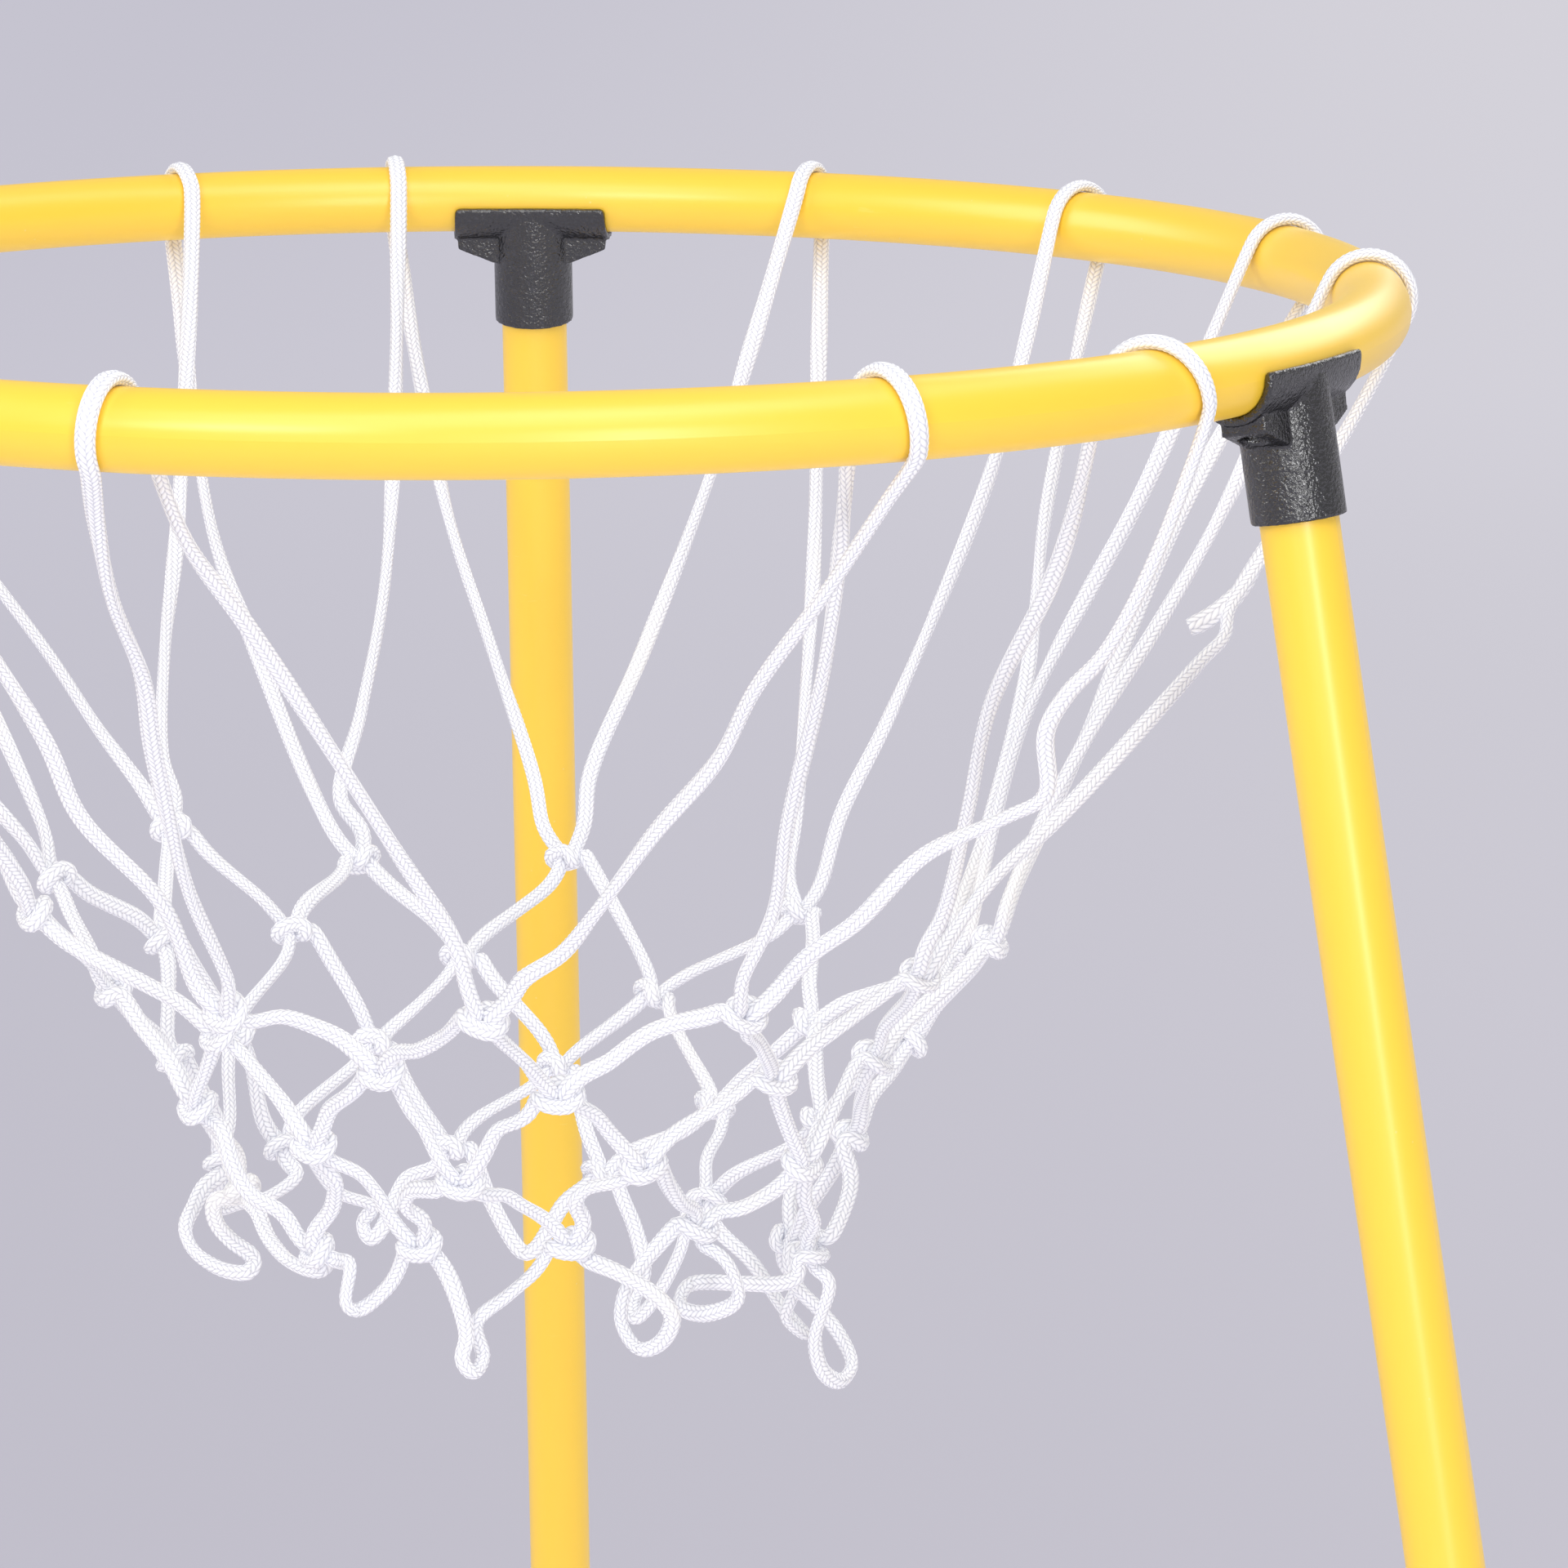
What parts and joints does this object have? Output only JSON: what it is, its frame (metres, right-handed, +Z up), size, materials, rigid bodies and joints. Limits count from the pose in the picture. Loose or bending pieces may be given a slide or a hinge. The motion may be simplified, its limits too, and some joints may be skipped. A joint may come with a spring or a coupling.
{
  "type": "hoop goal",
  "caption": "Free-standing hoop goal: a tube hoop on plug-in tube legs with moulded saddle connectors, and a knotted cord net hanging inside the hoop.",
  "frame": {"origin": "on the floor, on the hoop's axis, midway between the three feet", "axes": "+Z up along the hoop's axis, +Y towards the back leg, +X towards the front right leg's side"},
  "size_m": [0.6583, 0.628, 0.7227],
  "materials": {
    "tube_plastic": "smooth glossy yellow plastic tube",
    "splice_plastic": "plain dark plastic, hidden inside the hoop",
    "connector_plastic": "near-black moulded plastic with a fine spark-eroded grain",
    "screw_metal": "yellow zinc plating",
    "foot_rubber": "matte black rubber",
    "net_cord": "bright white braided cord with a slight gloss"
  },
  "bodies": {
    "frame": {"hoop_tube": "tube_plastic", "hoop_splice": "splice_plastic", "connector_screws": "screw_metal", "connector_back": "connector_plastic", "connector_front_left": "connector_plastic", "connector_front_right": "connector_plastic", "net_cord_1": "net_cord", "net_cord_2": "net_cord", "net_cord_3": "net_cord", "net_cord_4": "net_cord", "net_cord_5": "net_cord", "net_cord_6": "net_cord", "net_cord_7": "net_cord", "net_cord_8": "net_cord", "net_cord_9": "net_cord", "net_cord_10": "net_cord", "net_cord_11": "net_cord", "net_cord_12": "net_cord"},
    "leg_back_body": {"leg_back": "tube_plastic", "foot_back": "foot_rubber"},
    "leg_front_left_body": {"leg_front_left": "tube_plastic", "foot_front_left": "foot_rubber"},
    "leg_front_right_body": {"leg_front_right": "tube_plastic", "foot_front_right": "foot_rubber"}
  },
  "joints": [
    {"name": "leg_back_slide", "type": "slide", "parent": "frame", "child": "leg_back_body", "axis": [0, 0.1736, -0.9848], "range_m": [0, 0.025]},
    {"name": "leg_front_left_slide", "type": "slide", "parent": "frame", "child": "leg_front_left_body", "axis": [-0.1504, -0.0868, -0.9848], "range_m": [0, 0.025]},
    {"name": "leg_front_right_slide", "type": "slide", "parent": "frame", "child": "leg_front_right_body", "axis": [0.1504, -0.0868, -0.9848], "range_m": [0, 0.025]}
  ]
}
